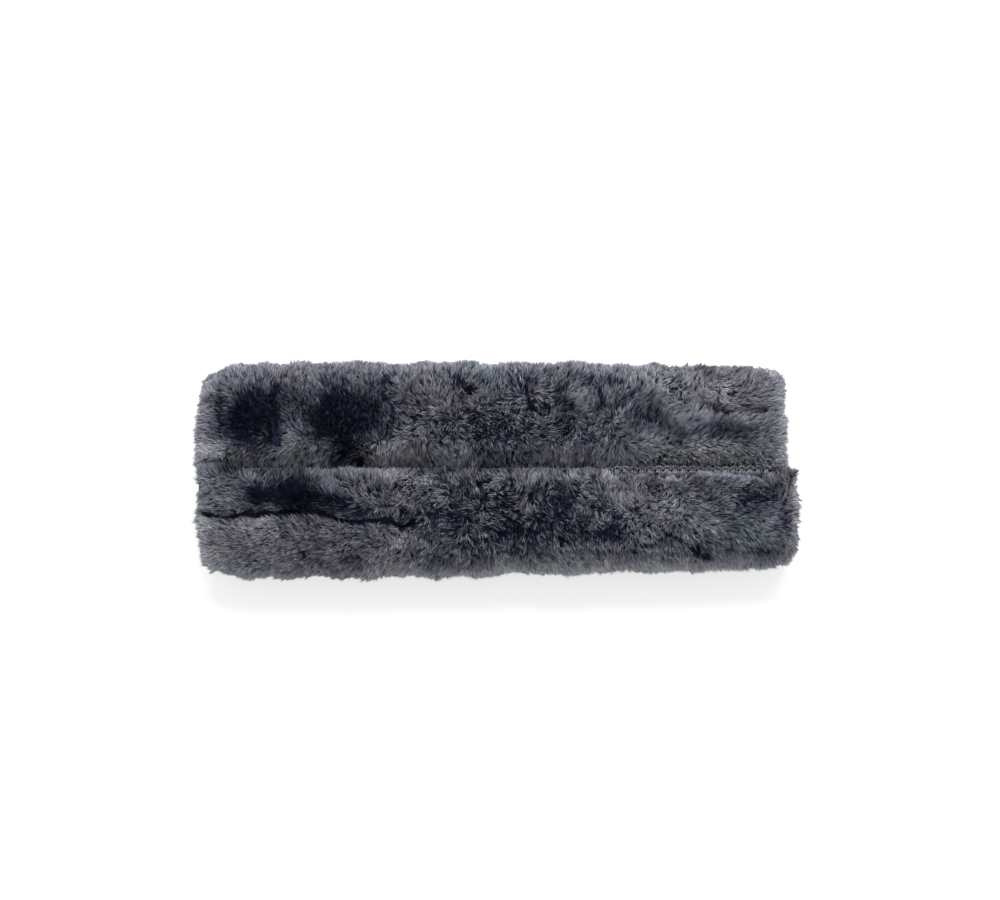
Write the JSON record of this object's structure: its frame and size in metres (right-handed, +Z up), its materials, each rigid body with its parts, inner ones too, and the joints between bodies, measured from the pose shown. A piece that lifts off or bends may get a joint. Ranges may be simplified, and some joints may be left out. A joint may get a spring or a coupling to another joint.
{
  "type": "seat belt shoulder pad",
  "caption": "Sheepskin sleeve that wraps round a car seat belt at the shoulder, wool outside, closed along its length by hook and loop tape.",
  "frame": {"origin": "middle of the flat patch of wool that the closed pad lies on", "axes": "+X along the belt, +Y towards the far fold, +Z up from the surface that the pad lies on, through the seam"},
  "size_m": [0.252, 0.0939, 0.0374],
  "materials": {
    "sheepskin": "clipped sheepskin wool dyed charcoal grey, suede on its inner side",
    "hook_nylon": "woven black nylon with moulded hooks",
    "loop_nylon": "woven black nylon with brushed loops",
    "overlock_thread": "spun polyester thread, grey",
    "tape_thread": "spun polyester thread, black"
  },
  "bodies": {
    "root": {"sheepskin": "sheepskin", "hook_tape": "hook_nylon", "loop_tape": "loop_nylon", "near_edge_overlock": "overlock_thread", "hook_tape_inner_stitching": "tape_thread", "hook_tape_edge_stitching": "tape_thread", "loop_tape_stitching": "tape_thread"}
  },
  "joints": []
}
